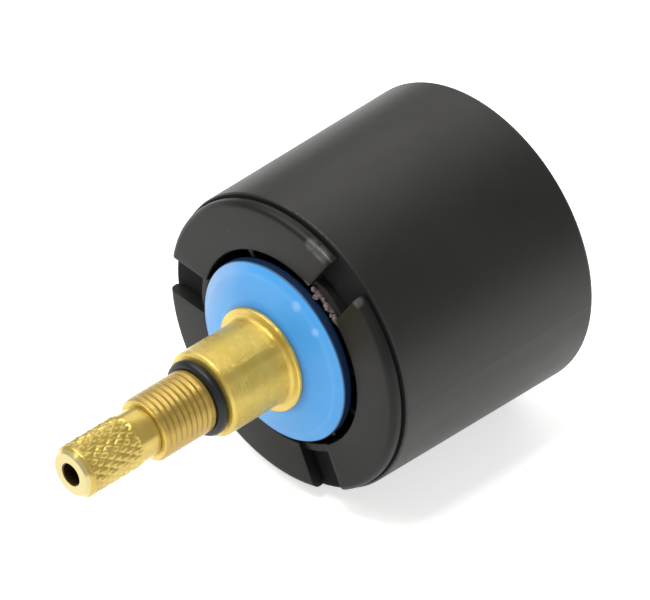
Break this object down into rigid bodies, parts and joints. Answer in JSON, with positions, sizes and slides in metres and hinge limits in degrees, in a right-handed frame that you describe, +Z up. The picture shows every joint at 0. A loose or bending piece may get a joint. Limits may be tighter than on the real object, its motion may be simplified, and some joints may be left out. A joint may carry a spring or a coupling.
{
  "type": "diverter valve cartridge",
  "caption": "Rotary ceramic-disc diverter cartridge in a black sleeve, with a slotted collar, a blue washer and a knurled brass spindle.",
  "frame": {"origin": "centre of the rear face that bears on the valve body", "axes": "+Y along the valve's axis, out of the rear ports; the spindle points to -Y; +Z up through the inlet port"},
  "size_m": [0.0486, 0.0834, 0.0486],
  "materials": {
    "sleeve_plastic": "satin black glass-filled nylon",
    "collar_plastic": "satin black acetal",
    "washer_plastic": "sky blue nylon, moulded gloss",
    "guide_brass": "turned brass, bright",
    "spindle_brass": "turned and knurled brass, bright",
    "seal_rubber": "black rubber, lightly greased",
    "housing_plastic": "dark grey nylon",
    "base_plastic": "grey nylon, satin",
    "detent_plastic": "natural acetal",
    "driver_plastic": "natural acetal",
    "disc_ceramic": "lapped alumina",
    "spring_steel": "spring steel, bright",
    "pin_steel": "ground stainless steel",
    "ball_steel": "polished bearing steel",
    "slip_plastic": "white fluoropolymer"
  },
  "bodies": {
    "cartridge": {"outer_sleeve": "sleeve_plastic", "front_collar": "collar_plastic", "blue_washer": "washer_plastic", "stem_guide": "guide_brass", "guide_o_ring": "seal_rubber", "shank_o_ring": "seal_rubber", "cartridge_housing": "housing_plastic", "detent_ring": "detent_plastic", "fixed_disc": "disc_ceramic", "disc_gasket": "seal_rubber", "port_base": "base_plastic", "base_o_ring": "seal_rubber", "port_seals": "seal_rubber", "locating_pins": "pin_steel", "retaining_ring": "spring_steel"},
    "spindle_assembly": {"spindle": "spindle_brass", "spindle_o_rings": "seal_rubber", "thrust_washer": "slip_plastic", "spindle_circlip": "spring_steel", "disc_driver": "driver_plastic", "detent_springs": "spring_steel", "detent_balls": "ball_steel", "moving_disc": "disc_ceramic"}
  },
  "joints": [
    {"name": "spindle_turn", "type": "hinge", "parent": "cartridge", "child": "spindle_assembly", "pos_m": [0, -0.06, 0], "axis": [0, -1, 0], "range_deg": [-60, 60]}
  ]
}
